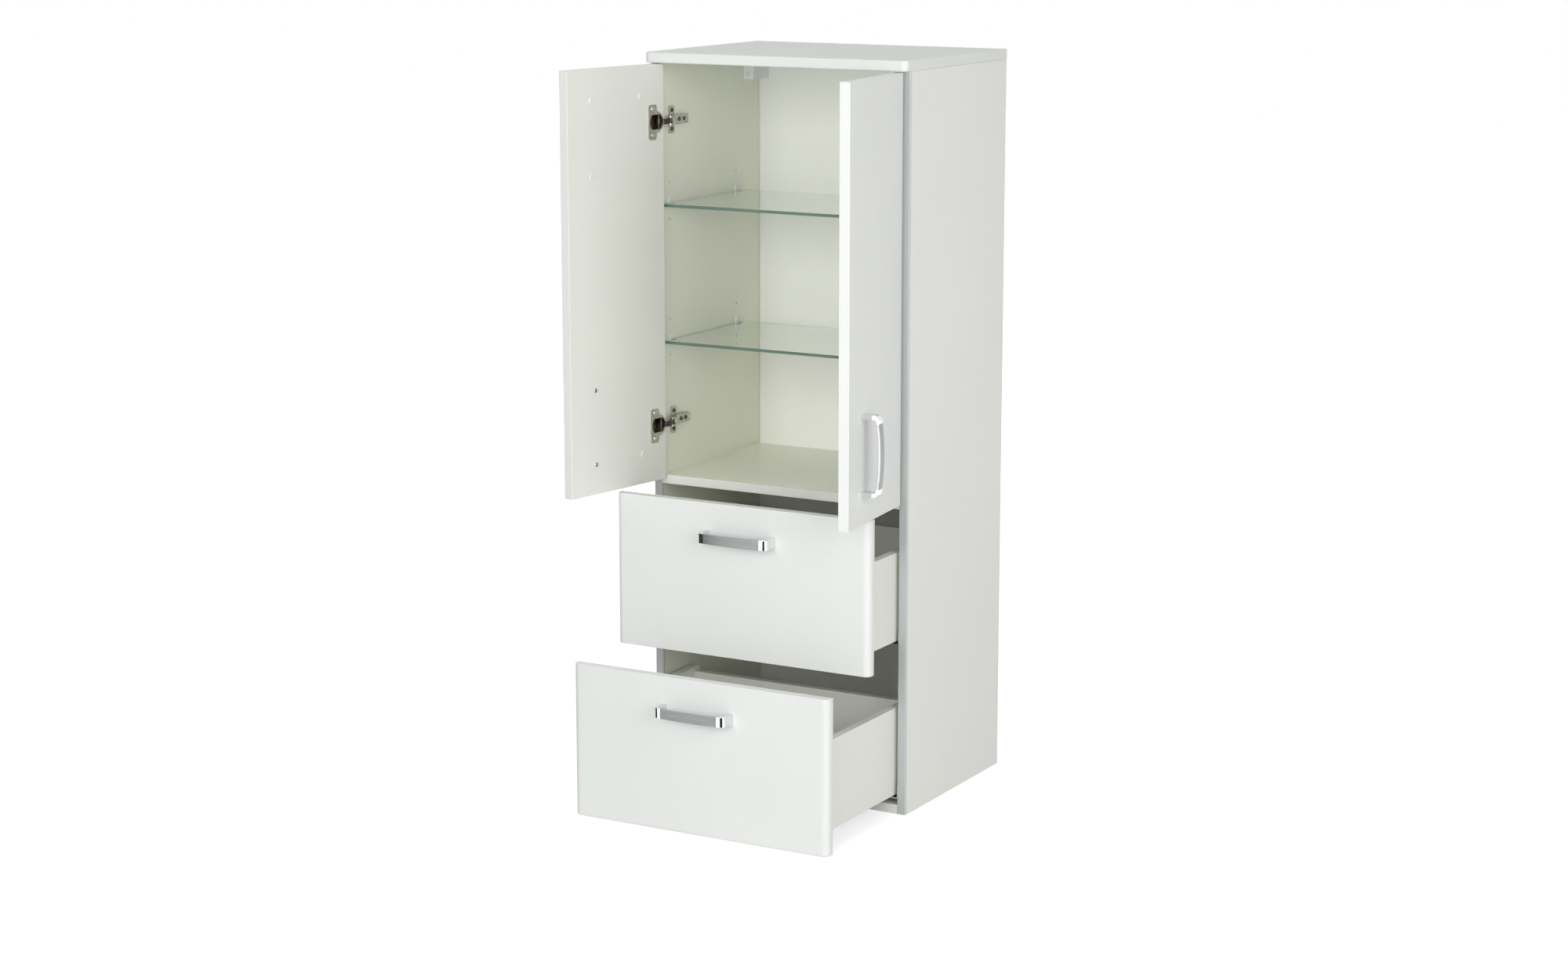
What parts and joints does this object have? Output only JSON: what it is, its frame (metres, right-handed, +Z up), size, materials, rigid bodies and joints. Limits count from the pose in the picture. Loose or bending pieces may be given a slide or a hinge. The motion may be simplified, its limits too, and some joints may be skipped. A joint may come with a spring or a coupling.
{
  "type": "bathroom_cabinet",
  "caption": "Tall white bathroom cabinet with overlay doors on concealed hinges above drawers, glass shelves and bow handles",
  "frame": {"origin": "centre of the carcass's underside, midway between strip front and rear edge", "axes": "+X to the right seen from the front, +Y to the wall behind, +Z up"},
  "size_m": [0.6018, 0.6717, 1.286],
  "materials": {
    "white_board": "white melamine-faced board, fine satin texture",
    "white_front": "white lacquered board, satin",
    "back_board": "thin white-faced hardboard",
    "drawer_board": "white foil-wrapped board",
    "dowel_wood": "bare beech",
    "edge_metal": "satin anodised",
    "clear_glass": "clear, polished edges",
    "clear_support": "translucent moulded plastic",
    "hanger_plastic": "white moulded plastic",
    "white_plastic": "white moulded plastic",
    "runner_plastic": "grey moulded plastic",
    "zinc_steel": "zinc-plated steel",
    "nickel_steel": "nickel-plated steel",
    "dark_steel": "dark coated steel",
    "satin_metal": "satin metal, brushed along its length",
    "bright_chrome": "polished chrome"
  },
  "bodies": {
    "carcass": {"left_side_panel": "white_board", "right_side_panel": "white_board", "left_edge_strip": "edge_metal", "right_edge_strip": "edge_metal", "top_panel": "white_board", "bottom_panel": "white_board", "middle_shelf": "white_board", "back_panel": "back_board", "upper_glass_shelf": "clear_glass", "lower_glass_shelf": "clear_glass", "shelf_supports": "clear_support", "left_hanger_housing": "hanger_plastic", "right_hanger_housing": "hanger_plastic", "hanger_hooks": "zinc_steel", "hanger_screws": "zinc_steel", "carcass_dowels": "dowel_wood", "hinge_plates": "nickel_steel", "hinge_arms": "nickel_steel", "fixing_screws": "zinc_steel", "cabinet_rails": "zinc_steel"},
    "left_links": {"left_hinge_links": "dark_steel", "left_hinge_pins": "nickel_steel"},
    "left_door": {"left_door_panel": "white_front", "left_hinge_cups": "nickel_steel", "left_cup_screws": "nickel_steel", "left_door_caps": "white_plastic", "left_door_handle_bar": "satin_metal", "left_door_handle_feet": "bright_chrome", "left_door_handle_screws": "zinc_steel"},
    "right_links": {"right_hinge_links": "dark_steel", "right_hinge_pins": "nickel_steel"},
    "right_door": {"right_door_panel": "white_front", "right_hinge_cups": "nickel_steel", "right_cup_screws": "nickel_steel", "right_door_caps": "white_plastic", "right_door_handle_bar": "satin_metal", "right_door_handle_feet": "bright_chrome", "right_door_handle_screws": "zinc_steel"},
    "upper_drawer": {"upper_drawer_front": "white_front", "upper_drawer_left_side": "drawer_board", "upper_drawer_right_side": "drawer_board", "upper_drawer_back": "drawer_board", "upper_drawer_bottom": "back_board", "upper_drawer_rails": "zinc_steel", "upper_drawer_handle_bar": "satin_metal", "upper_drawer_handle_feet": "bright_chrome", "upper_drawer_handle_screws": "zinc_steel"},
    "upper_carriages": {"upper_runner_carriages": "runner_plastic"},
    "lower_drawer": {"lower_drawer_front": "white_front", "lower_drawer_left_side": "drawer_board", "lower_drawer_right_side": "drawer_board", "lower_drawer_back": "drawer_board", "lower_drawer_bottom": "back_board", "lower_drawer_rails": "zinc_steel", "lower_drawer_handle_bar": "satin_metal", "lower_drawer_handle_feet": "bright_chrome", "lower_drawer_handle_screws": "zinc_steel"},
    "lower_carriages": {"lower_runner_carriages": "runner_plastic"}
  },
  "joints": [
    {"name": "left_link_turn", "type": "hinge", "parent": "carcass", "child": "left_links", "pos_m": [-0.222, -0.165, 0.905], "axis": [0, 0, -1], "range_deg": [-1.25, 24.75]},
    {"name": "left_door_swing", "type": "hinge", "parent": "left_links", "child": "left_door", "pos_m": [-0.22805, -0.19367, 0.905], "axis": [0, 0, -1], "range_deg": [-123.75, 6.25]},
    {"name": "right_link_turn", "type": "hinge", "parent": "carcass", "child": "right_links", "pos_m": [0.222, -0.165, 0.905], "axis": [0, 0, 1], "range_deg": [-1.88, 24.12]},
    {"name": "right_door_swing", "type": "hinge", "parent": "right_links", "child": "right_door", "pos_m": [0.22837, -0.1936, 0.905], "axis": [0, 0, 1], "range_deg": [-120.62, 9.38]},
    {"name": "upper_drawer_slide", "type": "slide", "parent": "carcass", "child": "upper_drawer", "axis": [0, -1, 0], "range_m": [-0.111, 0.149]},
    {"name": "upper_carriage_slide", "type": "slide", "parent": "carcass", "child": "upper_carriages", "axis": [0, -1, 0], "range_m": [-0.0555, 0.0745]},
    {"name": "lower_drawer_slide", "type": "slide", "parent": "carcass", "child": "lower_drawer", "axis": [0, -1, 0], "range_m": [-0.253, 0.007]},
    {"name": "lower_carriage_slide", "type": "slide", "parent": "carcass", "child": "lower_carriages", "axis": [0, -1, 0], "range_m": [-0.1265, 0.0035]}
  ],
  "couplings": [
    {"joint": "left_link_turn", "follows": "left_door_swing", "ratio": -0.2},
    {"joint": "right_link_turn", "follows": "right_door_swing", "ratio": -0.2},
    {"joint": "upper_carriage_slide", "follows": "upper_drawer_slide", "ratio": 0.5},
    {"joint": "lower_carriage_slide", "follows": "lower_drawer_slide", "ratio": 0.5}
  ]
}
